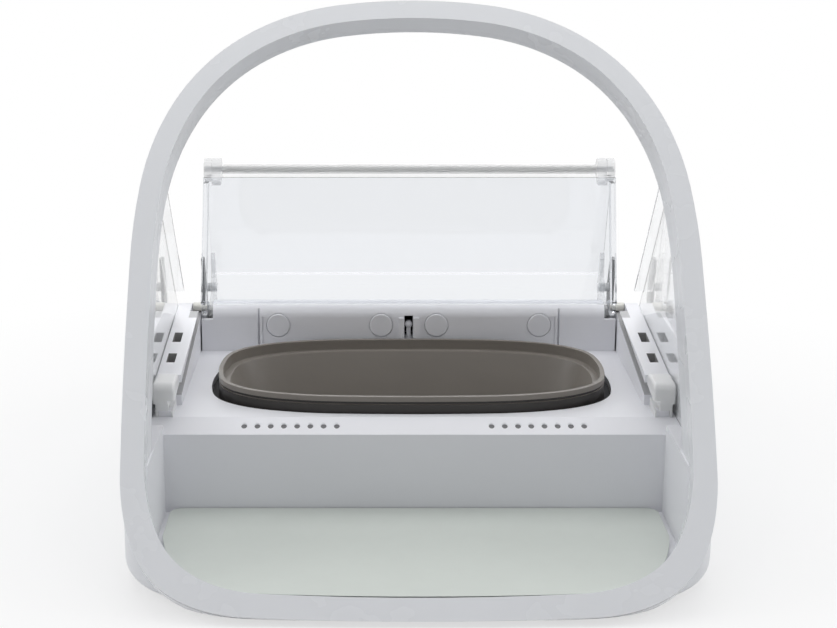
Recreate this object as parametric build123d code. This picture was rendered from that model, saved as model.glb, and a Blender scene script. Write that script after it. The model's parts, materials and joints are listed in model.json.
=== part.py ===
from build123d import *
import math
import os

# Pet feeder whose clear lid opens for one animal. A leaning hoop holds the antenna; behind it are
# a mat tray, a deck with a lift-out bowl, and a housing with the drive, the board and the cells.
# Millimetres, X to the right, Y to the back, Z up. Origin: floor, under the middle of the feeder.

# ---------------------------------------------------------------- driving dimensions
# Whole feeder
body_width = 230.0
body_depth = 320.0
overall_height = 205.0
underside_z = 2.0              # the feet lift the case this far
running_clearance = 0.05       # radial, pins and shafts in their holes
part_gap = 0.2                 # between neighbouring mouldings

# Hoop, measured in its own leaning plane
hoop_lean = 38.4               # degrees back from upright
hoop_width = 220.4
hoop_band = 8.5                # width of the front face
hoop_low_centre = 125.0        # height of the widest line above the bottom edge
hoop_high_centre = 140.0
hoop_low_power = 5.2           # outer edge: squarer at the lower corners than the inner
hoop_inner_low_power = 4.65
hoop_high_power = 2.45
hoop_front_depth = 8.0
hoop_depth_low = 24.0
hoop_depth_high = 10.5
hoop_wall = 2.0
hoop_groove = 0.5              # seam line round the hoop
window_heights = (107.0, 165.0)
window_depth = 5.0             # behind the hoop's face
window_size = (4.4, 1.8)
window_thickness = 0.8
coil_width = 2.0
coil_depth = 1.8

# Case
case_wall = 2.6
front_corner_depth = 62.0      # plan outline: depth of the rounded front
front_power = 3.3
rear_corner_depth = 100.0
rear_power = 2.6
swell_lean = 1.8               # how much the sides lean halfway, against a straight taper
front_width = 221.0
bottom_round = 9.0
side_rim_z = 75.0
deck_edge_z = 44.0             # deck surface
collar_foot_z = 36.0           # the case closes in on the hoop from here up
parting_z = 24.0               # rear cover stands on the base here
floor_thickness = 2.6
side_wall_inner = 107.5        # half width between the side walls

# Tray, riser and deck
sheet = 2.2                    # thickness of the inner moulding
tray_half_width = 100.0
tray_floor_z = 7.0
mat_thickness = 2.0
mat_half_width = 97.7
mat_corner = 5.0
riser_y = -70.0
riser_top_z = 40.0
deck_front_y = -60.0
rear_wall_y = 35.0
rear_wall_top_z = 66.0
rear_wall_round = 6.0
rear_wall_half = 94.6
strip_hole_d = 2.4
strip_hole_pitch = 5.3
strip_hole_count = 8
strip_hole_first = 31.0
strip_lean = 22.0              # degrees

# Raised panel on the rear wall, its plugs and the clip
panel_half = 68.0
panel_rise = 0.7
panel_bottom_z = 46.9
plug_d = 10.5
plug_z = 56.4
plug_places = (12.6, 59.5)
clip_width = 3.9
clip_slot_z = (49.0, 61.0)

# Bowl
bowl_length = 165.0
bowl_width = 87.0
bowl_y = -12.0
bowl_power = 3.0
bowl_rim_z = 51.0
bowl_depth = 36.0
bowl_lip = 2.0                 # width of the lip's flat top
bowl_step = 3.0                # width of the step inside the lip
bowl_step_depth = 4.5
bowl_wall = 2.0
bowl_taper = 18.0              # degrees
bowl_floor_round = 10.0
well_gap_ends = 3.0            # gap between the bowl and the deck at the bowl's ends
well_gap_sides = 0.8
well_ledge = 2.4               # width of the ledge that carries the bowl
ledge_z = 38.0
gasket_top_z = 41.5

# Lid: two equal panels, a rear hinge, a middle hinge and pins that run in sloping tracks
track_slope = 8.5              # degrees
panel_reach = 63.5             # hinge to hinge
rear_hinge_y = 63.53
rear_hinge_z = 67.26
open_pin_y = 40.0
closed_pin_y = -62.0
glass_offset = 5.0             # inner face of the clear plate above the hinge line
glass_thickness = 2.0
panel_half_low = 94.6          # half width at the track pins
panel_half_high = 92.2         # half width at the middle hinge
panel_end_gap = 3.0            # the plates stop this far short of the middle hinge
hinge_pin_d = 2.6
hinge_tube_d = 4.2
knuckle_d = 10.0
track_pin_d = 4.0
rear_pin_d = 4.0
front_knuckle = (84.5, 88.6)   # X of the barrels on the front panel
rear_knuckle = (88.9, 92.2)

# Rails
rail_inner = 95.2
rail_outer = 105.1
rail_front_top_z = 57.0
rail_end_top_z = 65.4
rail_end_y = 39.5
rail_end_round = 5.0
rail_slots = ((-31.0, -21.0), (-8.0, 3.0))
rail_slot_x = (99.4, 103.0)
rail_foot_height = 2.6
cap_length = 19.0
cap_height = 14.3
track_depth = 3.8
track_width = 4.4
liner_thickness = 0.4
screen_inner = 105.3
screen_thickness = 2.0
screen_top = (-37.8, 150.0)    # upper end of the slanted edge, as (y, z)
bracket_x = (94.9, 96.3)

# Drive
sector_module = 1.0
sector_teeth = 36              # full-circle count of the sector
pinion_teeth = 16
mesh_angle = -70.0             # from the rear hinge to the drive shaft, in degrees
wheel_module = 0.6
wheel_teeth = 30
motor_teeth = 12
motor_angle = 210.0            # from the drive shaft to the motor gear
gear_thickness = 2.4
shaft_d = 5.0
sector_x = 91.3
wheel_x = 61.0
bush_x = (79.0, 83.0)
bush_wall = 1.2
motor_box = (22.0, 56.0, 47.0, 67.4, 26.0, 46.0)

# Board
board_half_width = 13.0
board_y = (84.0, 136.0)
board_z = 27.0
board_thickness = 1.6

# Cells
cell_d = 26.2
cell_length = 50.0
cell_rows = (92.0, 120.0)
cell_x = 44.0
cell_z = 19.0
door_length = 66.0
door_thickness = 2.0

# Buttons
button_pitch = 26.0
button_length = 16.0
button_width = 9.0
button_travel = 1.2
button_proud = 1.6
button_names = ("left_button", "centre_button", "right_button")

# Feet and screws
foot_d = 14.0
foot_thickness = 3.0
foot_places = ((88.0, -105.0), (86.0, 108.0))
screw_head_d = 6.0
screw_places = ((70.0, 58.0), (95.0, 78.0))

# ---------------------------------------------------------------- derived places
half_depth = body_depth / 2
lean = math.radians(hoop_lean)
loop_height = (overall_height - underside_z) / math.cos(lean)
hoop_half = hoop_width / 2
hoop_plane = Plane(
    origin=(0, -half_depth, underside_z),
    x_dir=(1, 0, 0),
    z_dir=(0, -math.cos(lean), math.sin(lean)),
)
backward = -hoop_plane.z_dir
far = 400.0                    # larger than the feeder, for cutting blocks
loop_steps = 4                 # steps along a quarter of an outline
straight_enough = 1 - 1e-9     # cosine between directions that one line can join
slope = math.radians(track_slope)
floor_top_z = underside_z + floor_thickness
cover_y = rear_wall_y + 7.0    # the wall's top ends here and the rear cover begins
rail_front_y = closed_pin_y + 17.5
screen_foot = (rear_wall_y + 4.0, 63.0)
flange_drop = -case_wall - 1.4          # underside of the buttons' flanges, from the slope
key_pad_top = flange_drop - button_travel - 0.3
key_pad_length = 2 * button_pitch + 24


# ---------------------------------------------------------------- small helpers
def save(shape, name):
    export_step(shape, f"parts/{name}.step")


def both_sides(shape):
    return shape, mirror(shape, about=Plane.YZ)


def block(x0, x1, y0, y1, z0, z1):
    """Box between two corners."""
    size = Box(x1 - x0, y1 - y0, z1 - z0)
    return Pos((x0 + x1) / 2, (y0 + y1) / 2, (z0 + z1) / 2) * size


def side_plate(points, x0, x1):
    """Polygon in the side view, given as (y, z), between two X values."""
    outline = make_face(Polyline(*points, close=True))
    return extrude(Plane.YZ.offset(x0) * outline, amount=x1 - x0, dir=(1, 0, 0))


def side_rod(y, z, diameter, x0, x1):
    """Rod along X."""
    return Plane.YZ.offset(x0) * Pos(y, z, (x1 - x0) / 2) * Cylinder(diameter / 2, x1 - x0)


def inset_power(half_x, half_y, power, inset):
    """Power of an inset superellipse whose corner keeps the same distance as its sides."""
    share = 2 ** (-1 / power)
    length = math.hypot(1 / half_x, 1 / half_y)
    corner_x = half_x * share - inset / half_x / length
    corner_y = half_y * share - inset / half_y / length
    low, high = 1.5, 20.0
    for _ in range(40):
        middle = (low + high) / 2
        total = (corner_x / (half_x - inset)) ** middle + (corner_y / (half_y - inset)) ** middle
        low, high = (middle, high) if total > 1 else (low, middle)
    return low


def quarter_loop(half_x, half_y, power, centre_y, side, inset=0.0):
    """Points and directions along a superellipse's +X quarter, from the bottom up."""
    if inset:
        power = inset_power(half_x, half_y, power, inset)
    half_x, half_y = half_x - inset, half_y - inset
    places = []
    for step in range(loop_steps + 1):
        angle = math.pi / 2 * step / loop_steps
        across = abs(math.cos(angle)) ** (2 / power) if step < loop_steps else 0.0
        up = math.sin(angle) ** (2 / power)
        course = Vector(-up ** (power - 1) / half_y, side * across ** (power - 1) / half_x)
        places.append((Vector(half_x * across, centre_y + side * half_y * up),
                       (course * side).normalized()))
    return places[::side]


def arc_pair(start, course, end, end_course):
    """Two arcs that leave and arrive in given directions, inside the corner of those lines."""
    reach = end - start
    share = reach.cross(end_course).Z / course.cross(reach).Z
    bend = 2 * share * (1 - course.dot(end_course))
    forward = share * reach.dot(course) + reach.dot(end_course)
    arm = (math.sqrt(forward ** 2 + bend * reach.dot(reach)) - forward) / bend
    first, second = start + course * (share * arm), end - end_course * arm
    middle = (first + second * share) * (1 / (1 + share))
    return [TangentArc(start, middle, tangent=course),
            TangentArc(middle, end, tangent=second - first)]


def closed_face(places):
    """Face inside a smooth loop, given its +X half from the bottom middle to the top middle."""
    half = []
    for (start, course), (end, end_course) in zip(places, places[1:]):
        if course.dot(end_course) < straight_enough:
            half += arc_pair(start, course, end, end_course)
        else:
            half.append(Line(start, end))
    return make_face([*half, *[mirror(edge, about=Plane.YZ) for edge in half]])


def hoop_outline(inset):
    """Outline of the hoop in its leaning plane."""
    power = hoop_inner_low_power if inset > hoop_band / 2 else hoop_low_power
    low = quarter_loop(hoop_half, hoop_low_centre, power, hoop_low_centre, -1, inset)
    high_reach = loop_height - hoop_high_centre
    high = quarter_loop(hoop_half, high_reach, hoop_high_power, hoop_high_centre, 1, inset)
    return hoop_plane * closed_face(low + high)


def hoop_ring(outer_inset, inner_inset, start, end):
    """Part of the hoop between two insets from its edge and two depths behind its face."""
    ring = hoop_outline(outer_inset) - hoop_outline(inner_inset)
    ring = Pos(*(backward * start)) * ring
    return extrude(ring, amount=end - start, dir=backward)


def behind(depth):
    """Everything further back than a depth behind the hoop's face."""
    cut = Plane(hoop_plane.origin + backward * depth, x_dir=(1, 0, 0), z_dir=backward)
    return cut * Box(far, far * 2, far, align=(Align.CENTER, Align.CENTER, Align.MIN))


def hoop_rear_space(shift=0.0):
    """Everything behind the hoop's back, which comes nearer to the face towards the top."""
    low = hoop_plane.origin + backward * (hoop_depth_low - shift)
    high = hoop_plane.origin + hoop_plane.y_dir * loop_height + backward * (hoop_depth_high - shift)
    up = (high - low).normalized()
    cut = Plane(low, x_dir=(1, 0, 0), z_dir=Vector(1, 0, 0).cross(up) * -1)
    return cut * Box(far, far * 2, far, align=(Align.CENTER, Align.CENTER, Align.MIN))


def plan_outline(inset):
    """Plan of the case: rounded front, sides that swell to the full width, rounder back."""
    front_centre = front_corner_depth - half_depth
    rear_centre = half_depth - rear_corner_depth
    low = quarter_loop(front_width / 2, front_corner_depth, front_power, front_centre, -1, inset)
    high = quarter_loop(body_width / 2, rear_corner_depth, rear_power, rear_centre, 1, inset)
    middle = Vector((front_width + body_width) / 4 - inset, (front_centre + rear_centre) / 2)
    rise = (body_width - front_width) / 2
    course = Vector(rise * swell_lean, rear_centre - front_centre).normalized()
    return closed_face(low + [(middle, course)] + high)


def inset_corners(points, inset):
    """Corners of an open run of lines, each moved to the right by the same distance."""
    lines = []
    for (y0, z0), (y1, z1) in zip(points, points[1:]):
        length = math.hypot(y1 - y0, z1 - z0)
        step_y, step_z = (z1 - z0) / length * inset, -(y1 - y0) / length * inset
        lines.append((y0 + step_y, z0 + step_z, y1 + step_y, z1 + step_z))
    moved = [(lines[0][0], lines[0][1])]
    for (ay, az, by, bz), (cy, cz, dy, dz) in zip(lines, lines[1:]):
        cross = (by - ay) * (dz - cz) - (bz - az) * (dy - cy)
        share = ((cy - ay) * (dz - cz) - (cz - az) * (dy - cy)) / cross
        moved.append((ay + share * (by - ay), az + share * (bz - az)))
    moved.append((lines[-1][2], lines[-1][3]))
    return moved


# Side view of the case: level rim, fall to the rear cover, rounded back.
case_profile = [
    (-half_depth, side_rim_z),
    (-12.0, side_rim_z),
    (36.0, 60.5),
    (98.0, 50.5),
    (138.0, 33.0),
    (153.0, 22.0),
    (half_depth, 12.0),
    (half_depth, underside_z),
]
case_rounds = [30.0, 60.0, 60.0, 18.0, 8.0, 4.0]


def case_side(inset):
    """Side view of the case as a solid across the full width."""
    corners = inset_corners(case_profile, inset)
    top = FilletPolyline(*corners, radius=[r - inset for r in case_rounds])
    first, last = top @ 0, top @ 1
    base = Polyline(last, (last.X, underside_z - 1), (first.X, underside_z - 1), first)
    return extrude(Plane.YZ * make_face([*top.edges(), *base.edges()]), amount=far / 2, both=True)


def rotated(point, centre, degrees):
    """Point of the side view turned about a centre."""
    angle = math.radians(degrees)
    dy, dz = point[0] - centre[0], point[1] - centre[1]
    turned_y = dy * math.cos(angle) - dz * math.sin(angle)
    turned_z = dy * math.sin(angle) + dz * math.cos(angle)
    return centre[0] + turned_y, centre[1] + turned_z


# ---------------------------------------------------------------- gears
def involute_gear(module, teeth, first_angle, wanted=None, addendum=1.0, thinning=0.05):
    """Gear outline round the origin, as points. A tooth stands at first_angle (degrees)."""
    pitch_r = module * teeth / 2
    base_r = pitch_r * math.cos(math.radians(20))
    tip_r = pitch_r + addendum * module
    root_r = pitch_r - 1.2 * module

    def half_angle(radius):
        def inv(r):
            lean_angle = math.acos(min(1.0, base_r / r))
            return math.tan(lean_angle) - lean_angle
        half = math.pi / 2 / teeth * (1 - thinning)
        return half + inv(pitch_r) - inv(max(radius, base_r))

    radii = [root_r, max(base_r, root_r + 0.1), pitch_r, tip_r]
    points = []
    for tooth in wanted or range(teeth):
        middle = math.radians(first_angle) + 2 * math.pi * tooth / teeth
        rising = [(r, middle - half_angle(r)) for r in radii]
        falling = [(r, middle + half_angle(r)) for r in reversed(radii)]
        points += [(r * math.cos(a), r * math.sin(a)) for r, a in rising + falling]
    return points


def gear(module, teeth, first_angle, centre, x0, x1, bore, **options):
    """Spur gear on an axis along X."""
    teeth_points = involute_gear(module, teeth, first_angle, **options)
    points = [(centre[0] + y, centre[1] + z) for y, z in teeth_points]
    return side_plate(points, x0, x1) - side_rod(*centre, bore, x0 - 1, x1 + 1)


# ---------------------------------------------------------------- lid linkage in the side view
rear_hinge = (rear_hinge_y, rear_hinge_z)


def on_track(y):
    """Point of the sloping line that the track pins and the rear hinge share."""
    return y, rear_hinge_z + (y - rear_hinge_y) * math.tan(slope)


open_pin = on_track(open_pin_y)


def middle_hinge(pin_point):
    """Middle hinge above the line from the rear hinge to the track pins."""
    half = math.dist(pin_point, rear_hinge) / 2
    rise = math.sqrt(panel_reach ** 2 - half ** 2)
    centre = ((pin_point[0] + rear_hinge[0]) / 2, (pin_point[1] + rear_hinge[1]) / 2)
    return centre[0] - rise * math.sin(slope), centre[1] + rise * math.cos(slope)


fold_point = middle_hinge(open_pin)
closed_fold = middle_hinge(on_track(closed_pin_y))


def bearing(start, end):
    return math.degrees(math.atan2(end[1] - start[1], end[0] - start[0]))


lid_swing = bearing(rear_hinge, closed_fold) % 360 - bearing(rear_hinge, fold_point) % 360


def panel_frame(start, end, outward):
    """Turns (distance along, offset outwards) of a panel into (y, z)."""
    along = ((end[0] - start[0]) / panel_reach, (end[1] - start[1]) / panel_reach)
    across = (-along[1] * outward, along[0] * outward)

    def place(distance, offset):
        y = start[0] + along[0] * distance + across[0] * offset
        z = start[1] + along[1] * distance + across[1] * offset
        return y, z

    return place


front_at = panel_frame(open_pin, fold_point, 1)
rear_at = panel_frame(rear_hinge, fold_point, -1)
plate_end = panel_reach - panel_end_gap
drive_centre_distance = sector_module * (sector_teeth + pinion_teeth) / 2
drive_point = rotated((rear_hinge_y + drive_centre_distance, rear_hinge_z), rear_hinge, mesh_angle)
motor_distance = wheel_module * (wheel_teeth + motor_teeth) / 2
motor_point = rotated((drive_point[0] + motor_distance, drive_point[1]), drive_point, motor_angle)


# ---------------------------------------------------------------- hoop
above_underside = block(-far, far, -far, far, underside_z, far)
above_rim = block(-far, far, -far, far, side_rim_z, far)
hoop_space = hoop_ring(0, hoop_band, 0, 40) - hoop_rear_space()
coil_start = hoop_wall
coil_inset = hoop_band / 2 - coil_width / 2 + 0.5


def make_antenna_coil():
    return hoop_ring(coil_inset, coil_inset + coil_width, coil_start, coil_start + coil_depth)


def make_windows():
    """Upright ovals let into both inner sides of the hoop."""
    ovals = []
    for height in window_heights:
        centre = hoop_plane.origin + hoop_plane.y_dir * height + backward * window_depth
        upright = Plane(centre, x_dir=hoop_plane.y_dir, z_dir=(1, 0, 0))
        face = upright * Ellipse(window_size[0] / 2, window_size[1] / 2)
        inner = hoop_half_at(height) - hoop_band
        oval = extrude(Pos(inner, 0, 0) * face, amount=window_thickness, dir=(1, 0, 0))
        ovals += both_sides(oval)
    return ovals


def hoop_half_at(height):
    """Half width of the hoop's outline at a height along the lean."""
    if height < hoop_high_centre:
        return hoop_half
    reach = (height - hoop_high_centre) / (loop_height - hoop_high_centre)
    return hoop_half * (1 - reach ** hoop_high_power) ** (1 / hoop_high_power)


def make_hoop_front(coil, windows):
    ring = hoop_ring(0, hoop_band, 0, hoop_front_depth) & above_underside
    seam = hoop_ring(-1, hoop_groove, 1.4, 1.4 + hoop_groove)
    channel = hoop_ring(hoop_wall, hoop_band - hoop_wall, coil_start, hoop_front_depth + 1)
    channel &= block(-far, far, -far, far, 24, far)
    return ring - seam - channel - coil - Compound(windows)


def make_hoop_rear():
    shell = hoop_space & behind(hoop_front_depth) & above_rim
    hollow = hoop_ring(hoop_wall, hoop_band - hoop_wall, hoop_front_depth - 1, 40)
    hollow -= hoop_rear_space(hoop_wall)
    hollow &= block(-far, far, -far, far, side_rim_z + hoop_wall, far)
    return shell - hollow


# ---------------------------------------------------------------- case
def make_case_outer():
    """Whole outer form of the case, before it is parted and hollowed."""
    body = half_extrude(plan_outline(0), underside_z, side_rim_z + 1)
    body = fillet(body.edges().group_by(Axis.Z)[0], bottom_round)
    return body & case_side(0)


def make_rear_space(gap):
    """Where the rear cover is: behind the deck's wall and above the parting line."""
    return block(-far, far, cover_y + gap, far, parting_z + gap, far)


def battery_bay():
    """Opening over one pair of cells, and the step that its door lies in."""
    rows_middle = sum(cell_rows) / 2
    half_y = door_length / 2
    half_x = (cell_length + 10) / 2
    opening = block(cell_x - half_x, cell_x + half_x, rows_middle - half_y + 4,
                    rows_middle + half_y - 4, underside_z - 1, floor_top_z + 1)
    step = block(cell_x - half_x - 3, cell_x + half_x + 3, rows_middle - half_y,
                 rows_middle + half_y, underside_z - 1, underside_z + door_thickness)
    return opening + step


def make_battery_door():
    rows_middle = sum(cell_rows) / 2
    half_y = door_length / 2 - part_gap
    half_x = (cell_length + 10) / 2 + 3 - part_gap
    plate = block(cell_x - half_x, cell_x + half_x, rows_middle - half_y, rows_middle + half_y,
                  underside_z, underside_z + door_thickness)
    plate = fillet(plate.edges().filter_by(Axis.Z), 3)
    for step in range(5):
        y = rows_middle + half_y - 6 - 3 * step
        plate -= block(cell_x - 9, cell_x + 9, y, y + 1.4, 0, underside_z + 0.6)
    return plate


def make_base_shell(case_outer):
    hollow_plan = extrude(plan_outline(case_wall), amount=far, dir=(0, 0, 1))
    hollow_plan = Pos(0, 0, floor_top_z) * hollow_plan
    narrow = block(-side_wall_inner, side_wall_inner, -far, cover_y, 0, far)
    wide = block(-far, far, cover_y - 0.01, far, 0, far) & case_side(case_wall)
    hollow = (hollow_plan & narrow) + (hollow_plan & wide)
    shell = (case_outer - hollow - make_rear_space(0)) & behind(hoop_front_depth)
    collar_zone = block(-far, far, -far, far, collar_foot_z, side_rim_z)
    shell += hoop_space & behind(hoop_front_depth) & collar_zone
    for bay in both_sides(battery_bay()):
        shell -= bay
    for x, y in foot_places:
        for foot in both_sides(Pos(x, y, 0) * Cylinder(foot_d / 2, 2 * foot_thickness)):
            shell -= foot
    for post in both_sides(make_screw_posts()):
        shell += post
    for screw in both_sides(screw_shapes(0.1)):
        shell -= screw
    for seat in both_sides(make_shaft_seat()):
        shell += seat
    for cradle in both_sides(make_cell_cradle()):
        shell += cradle
    return shell + make_motor_cradle() + make_board_posts()


def make_screw_posts():
    posts = [Pos(x, y, floor_top_z) * Cylinder(4, 10, align=(Align.CENTER, Align.CENTER, Align.MIN))
             for x, y in screw_places]
    return posts[0] + posts[1]


def screw_shapes(gap):
    """Cross-head screws from below, head sunk in the floor."""
    upright = (Align.CENTER, Align.CENTER, Align.MIN)
    screws = []
    for x, y in screw_places:
        head = Pos(x, y, underside_z + 0.5) * Cylinder(screw_head_d / 2 + gap, 2, align=upright)
        shank = Pos(x, y, underside_z + 2) * Cylinder(1.4 + gap, 9, align=upright)
        screws.append(head + shank)
    return screws[0] + screws[1]


def make_shaft_seat():
    """Upright that carries one end of the drive shaft."""
    y, z = drive_point
    head_r = shaft_d / 2 + bush_wall + 1.3
    post = block(*bush_x, y - head_r, y + head_r, floor_top_z - 0.1, z)
    post += side_rod(y, z, 2 * head_r, *bush_x)
    return post - side_rod(y, z, shaft_d + 2 * bush_wall, bush_x[0] - 1, bush_x[1] + 1)


def make_cell_cradle():
    """Wall at the outer ends of a pair of cells, behind their contacts."""
    x = cell_x + cell_length / 2 + 7
    return block(x, x + 1.6, cell_rows[0] - cell_d / 2, cell_rows[1] + cell_d / 2,
                 floor_top_z - 0.1, cell_z + 7)


def make_motor_cradle():
    x0, x1, y0, y1, z0, z1 = motor_box
    return block(x0 + 4, x0 + 7, y0, y1, floor_top_z - 0.1, z0) + block(
        x1 - 7, x1 - 4, y0, y1, floor_top_z - 0.1, z0)


def make_board_posts():
    """Four pegs that hold the board."""
    pegs = [block(x - 2, x + 2, y - 2, y + 2, floor_top_z - 0.1, board_z)
            for x in (-9.5, 9.5) for y in (board_y[0] + 4, board_y[1] - 4)]
    return pegs[0] + pegs[1] + pegs[2] + pegs[3]


def make_rear_housing(case_outer):
    inner = Pos(0, 0, underside_z) * extrude(plan_outline(case_wall), amount=far, dir=(0, 0, 1))
    hollow = inner & case_side(case_wall)
    cover = (case_outer & make_rear_space(part_gap)) - hollow
    crown_end = 66.0
    top_at_end = rear_hinge_z - 9.6
    crown = side_plate(
        [(cover_y + part_gap, rear_wall_top_z), (46, 65.7), (52, 63.6), (crown_end, top_at_end),
         (crown_end, top_at_end - 3), (52, 61.0), (46, 63.0), (cover_y + part_gap, 63.3)],
        -rear_wall_half, rear_wall_half)
    side_cheek = side_plate(
        [(cover_y + part_gap, rear_wall_top_z), (46, 65.7), (52, 63.6), (crown_end, top_at_end),
         (crown_end, top_at_end - 3), (cover_y + part_gap, 56)], 93.0, rear_wall_half)
    under_crown = block(-89, 89, cover_y - 1, 58, parting_z, 61) & case_side(-0.5)
    cover = cover - under_crown + crown
    for cheek in both_sides(side_cheek):
        cover += cheek
    for slot in both_sides(sector_slot()):
        cover -= slot
    for pocket in both_sides(rail_body(part_gap)):
        cover -= pocket
    for pocket in both_sides(screen_plate(part_gap)):
        cover -= pocket
    for well in button_wells():
        cover -= well
    for post in key_pad_posts():
        cover += post
    wheel_relief = wheel_module * (wheel_teeth / 2 + 1) + 0.8
    return cover - side_rod(*drive_point, 2 * wheel_relief, wheel_x - 1, wheel_x + 9)


def sector_slot():
    """Slot that the gear sector and the folded panel's foot pass through."""
    gear_slot = block(sector_x - 1.7, sector_x + 1.7, cover_y, rear_hinge_y + 20.5, 40, far)
    foot_notch = block(89.4, rear_wall_half + 0.3, rear_wall_y - 2, 47, 59.0, far)
    return gear_slot + foot_notch


# ---------------------------------------------------------------- inner moulding
def tray_plan(half_width, inset):
    """Plan of the tray: straight sides, the case's rounded front corners."""
    straight = Pos(0, riser_y - 60) * Rectangle(2 * half_width, 2 * 60 + 2 * sheet)
    return plan_outline(inset) & straight


def make_deck_housing():
    tray_outer = half_extrude(tray_plan(tray_half_width + sheet, case_wall + part_gap),
                              floor_top_z, deck_edge_z)
    tray_inner = half_extrude(tray_plan(tray_half_width, case_wall + part_gap + sheet),
                              tray_floor_z, deck_edge_z + 1)
    walls = tray_outer - (tray_inner & block(-far, far, -far, riser_y, 0, far))
    ledge = block(tray_half_width + 1, side_wall_inner - 0.1, -112, riser_y + sheet,
                  deck_edge_z - sheet, deck_edge_z)
    for part in both_sides(ledge):
        walls += part
    walls &= behind(hoop_front_depth)
    collar_space = block(-far, far, -far, far, collar_foot_z, far) - hoop_rear_space()
    walls -= hoop_ring(-1, hoop_band, 0, 40) & collar_space
    mouth = extrude(hoop_outline(hoop_band), amount=60, dir=backward)
    floor_front = half_extrude(tray_plan(tray_half_width, case_wall + part_gap),
                               floor_top_z, tray_floor_z)
    walls += floor_front & mouth
    deck = side_plate(
        [(riser_y, riser_top_z - 4), (riser_y, riser_top_z), (deck_front_y, deck_edge_z),
         (rear_wall_y + 0.1, deck_edge_z), (rear_wall_y + 0.1, deck_edge_z - sheet),
         (deck_front_y + 0.6, deck_edge_z - sheet), (riser_y + sheet, riser_top_z - 1.4),
         (riser_y + sheet, riser_top_z - 4)],
        -side_wall_inner + 0.1, side_wall_inner - 0.1)
    deck &= block(-far, far, riser_y, far, 0, far)
    walls -= block(-far, far, riser_y, far, riser_top_z - 4, far)
    body = walls + deck + make_rear_wall() + bowl_well()
    body -= bowl_space()
    for holes in both_sides(strip_holes()):
        body -= holes
    for slot in both_sides(sector_slot()):
        body -= slot
    for groove in both_sides(wall_grooves()):
        body -= groove
    return body - clip_slot()


def half_extrude(face, z0, z1):
    return Pos(0, 0, z0) * extrude(face, amount=z1 - z0, dir=(0, 0, 1))


def make_rear_wall():
    """Wall behind the bowl, with a rounded top that turns back over the drive."""
    y, z, r = rear_wall_y, rear_wall_top_z, rear_wall_round
    front = FilletPolyline((y, deck_edge_z - sheet), (y, z), (cover_y, z), radius=[r])
    back = FilletPolyline((y + sheet, deck_edge_z - sheet), (y + sheet, z - sheet),
                          (cover_y, z - sheet), radius=[r - sheet])
    ends = [Line(front @ 0, back @ 0), Line(front @ 1, back @ 1)]
    outline = make_face([*front.edges(), *back.edges(), *ends])
    return extrude(Plane.YZ * outline, amount=rear_wall_half, both=True)


def bowl_outline(inset):
    low = quarter_loop(bowl_length / 2, bowl_width / 2, bowl_power, 0, -1, inset)
    high = quarter_loop(bowl_length / 2, bowl_width / 2, bowl_power, 0, 1, inset)
    return Pos(0, bowl_y) * closed_face(low + high[1:])


def bowl_band(outer, inner, z0, z1):
    return half_extrude(bowl_outline(outer) - bowl_outline(inner), z0, z1)


def well_outline(grow):
    """Outline of the deck's well: wider than the bowl at its ends, close along its sides."""
    half_x = bowl_length / 2 + well_gap_ends + grow
    half_y = bowl_width / 2 + well_gap_sides + grow
    low = quarter_loop(half_x, half_y, bowl_power, 0, -1)
    high = quarter_loop(half_x, half_y, bowl_power, 0, 1)
    return Pos(0, bowl_y) * closed_face(low + high[1:])


def bowl_well():
    """Wall of the well and the ledge that the bowl's skirt stands on."""
    return half_extrude(well_outline(sheet), ledge_z - sheet, deck_edge_z - 0.5)


def bowl_space():
    return half_extrude(well_outline(0), ledge_z, far) + half_extrude(
        bowl_outline(well_ledge), 0, ledge_z + 1)


def make_bowl_gasket():
    """Dark soft ring that fills the foot of the gap round the bowl."""
    return half_extrude(well_outline(-0.1) - bowl_outline(-0.1), ledge_z, gasket_top_z)


def strip_holes():
    """Row of small holes through the sloping strip."""
    middle_y = (riser_y + deck_front_y) / 2
    middle_z = (riser_top_z + deck_edge_z) / 2
    holes = None
    for step in range(strip_hole_count):
        x = strip_hole_first + strip_hole_pitch * step
        hole = Pos(x, middle_y, middle_z) * Rot(-strip_lean, 0, 0) * Cylinder(strip_hole_d / 2, 9)
        holes = hole if holes is None else holes + hole
    return holes


def clip_slot():
    return block(-clip_width / 2, clip_width / 2, rear_wall_y - 3, rear_wall_y + 4, *clip_slot_z)


def make_rear_wall_panel():
    """Raised panel that follows the wall over its rounded top, with seats for the plugs."""
    y, z, r = rear_wall_y, rear_wall_top_z, rear_wall_round
    inner = FilletPolyline((y, panel_bottom_z), (y, z), (cover_y, z), radius=[r])
    outer = FilletPolyline((y - panel_rise, panel_bottom_z), (y - panel_rise, z + panel_rise),
                           (cover_y, z + panel_rise), radius=[r + panel_rise])
    ends = [Line(inner @ 0, outer @ 0), Line(inner @ 1, outer @ 1)]
    outline = make_face([*inner.edges(), *outer.edges(), *ends])
    panel = extrude(Plane.YZ * outline, amount=panel_half, both=True)
    for x in (-plug_places[1], -plug_places[0], plug_places[0], plug_places[1]):
        panel -= plug_disc(x, plug_d + 0.6, 3)
        panel -= block(x - 1.8, x + 1.8, y - 2, y - 0.3, plug_z + 5, plug_z + 6.4)
    for rib in both_sides(block(2.2, 4.6, y - 1.8, y - 0.3, 48.5, 60)):
        panel += rib
    for groove in both_sides(block(panel_half - 1.9, panel_half - 1.1, y - 2, y - 0.2, 0, 60.5)):
        panel -= groove
    return panel - clip_slot()


def wall_grooves():
    """Upright grooves in the wall beside the raised panel."""
    return block(panel_half, panel_half + 0.9, rear_wall_y - 1, rear_wall_y + 1.4, panel_bottom_z,
                 far)


def plug_disc(x, diameter, length):
    disc = Cylinder(diameter / 2, length, align=(Align.CENTER, Align.CENTER, Align.MIN))
    return Pos(x, rear_wall_y, plug_z) * Rot(90, 0, 0) * disc


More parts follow.
